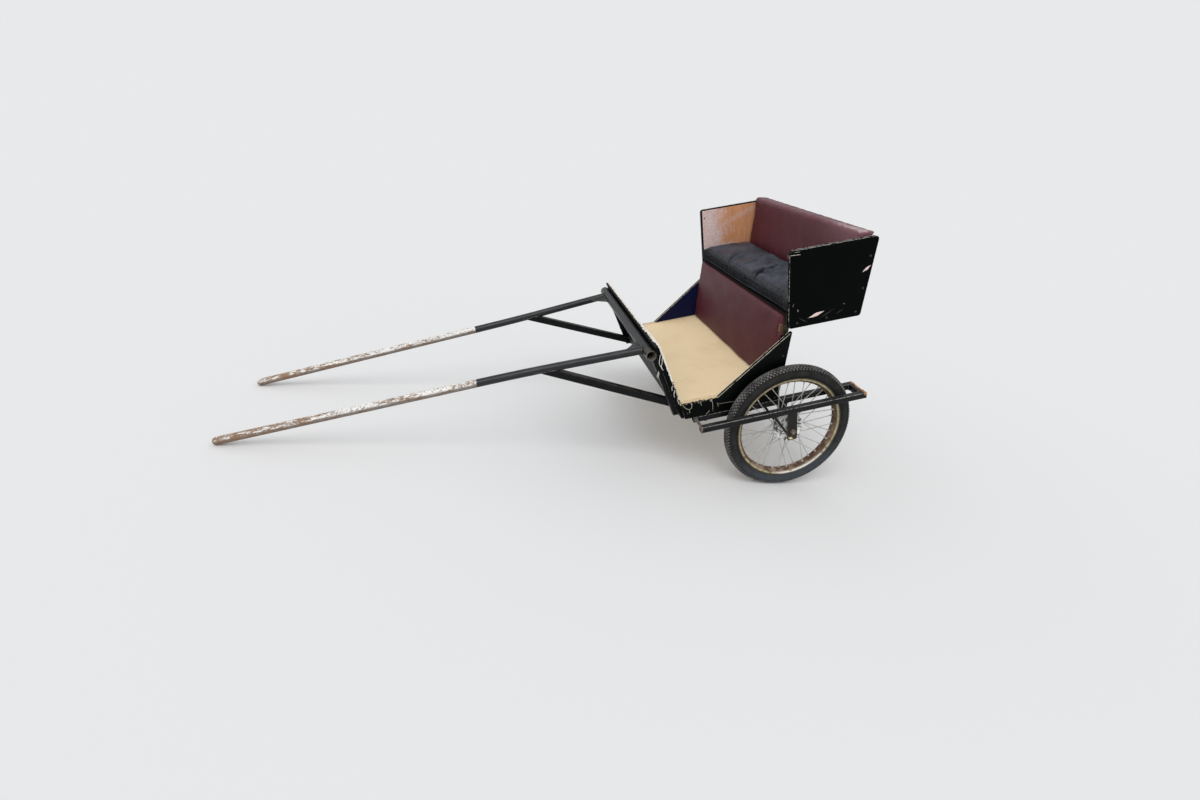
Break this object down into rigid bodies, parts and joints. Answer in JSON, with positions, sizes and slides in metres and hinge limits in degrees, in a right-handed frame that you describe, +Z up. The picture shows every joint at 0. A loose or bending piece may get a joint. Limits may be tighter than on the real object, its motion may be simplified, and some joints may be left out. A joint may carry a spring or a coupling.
{
  "type": "pony cart",
  "caption": "Light two-wheeled pony cart with a padded bench seat, a low footwell, wire wheels and tube shafts, parked on its shaft tips.",
  "frame": {"origin": "on the ground, under the middle of the parked cart's box", "axes": "+X forward to the shaft tips, +Y to the cart's left, +Z up; parked nose down on the shaft tips"},
  "size_m": [2.4858, 1.133, 1.0607],
  "materials": {
    "frame_paint": "worn satin black paint",
    "shaft_paint": "worn paint, rusty at the front",
    "panel_paint": "chipped satin black paint on plywood",
    "frame_wood": "dull dark timber",
    "floor_sheet": "matt pale sheet",
    "seat_vinyl": "satin maroon vinyl",
    "cushion_vinyl": "creased black vinyl",
    "axle_steel": "dull steel",
    "tyre_rubber": "dusty rubber",
    "rim_steel": "rusty steel",
    "hub_metal": "flaking pale paint"
  },
  "bodies": {
    "cart": {"arm_panel_left": "panel_paint", "arm_panel_right": "panel_paint", "back_board": "panel_paint", "back_pad": "seat_vinyl", "crossbar": "frame_paint", "dash_board": "panel_paint", "dash_post_left": "frame_paint", "dash_post_right": "frame_paint", "floor_board": "floor_sheet", "floor_front_rail": "frame_wood", "floor_rear_rail": "frame_wood", "front_link_left": "frame_paint", "front_link_right": "frame_paint", "hanger_inner_left": "frame_paint", "hanger_inner_right": "frame_paint", "hanger_outer_left": "frame_paint", "hanger_outer_right": "frame_paint", "inner_rail_left": "frame_paint", "inner_rail_right": "frame_paint", "outer_rail_left": "frame_paint", "outer_rail_right": "frame_paint", "rear_link_left": "frame_paint", "rear_link_right": "frame_paint", "seat_bearer_left": "frame_wood", "seat_bearer_right": "frame_wood", "seat_board": "frame_wood", "seat_cushion": "cushion_vinyl", "seat_front_panel": "seat_vinyl", "seat_post_left": "frame_paint", "seat_post_right": "frame_paint", "shaft_left": "shaft_paint", "shaft_right": "shaft_paint", "side_panel_left": "panel_paint", "side_panel_right": "panel_paint", "spindle_left": "axle_steel", "spindle_right": "axle_steel", "strut_left": "frame_paint", "strut_right": "frame_paint"},
    "wheel_left": {"hub_left": "hub_metal", "rim_left": "rim_steel", "tyre_left": "tyre_rubber"},
    "wheel_right": {"hub_right": "hub_metal", "rim_right": "rim_steel", "tyre_right": "tyre_rubber"}
  },
  "joints": [
    {"name": "wheel_left_spin", "type": "hinge", "parent": "cart", "child": "wheel_left", "pos_m": [-0.96713, 0.504, 0.27], "axis": [0, 1, 0], "continuous": true},
    {"name": "wheel_right_spin", "type": "hinge", "parent": "cart", "child": "wheel_right", "pos_m": [-0.96713, -0.504, 0.27], "axis": [0, 1, 0], "continuous": true}
  ]
}
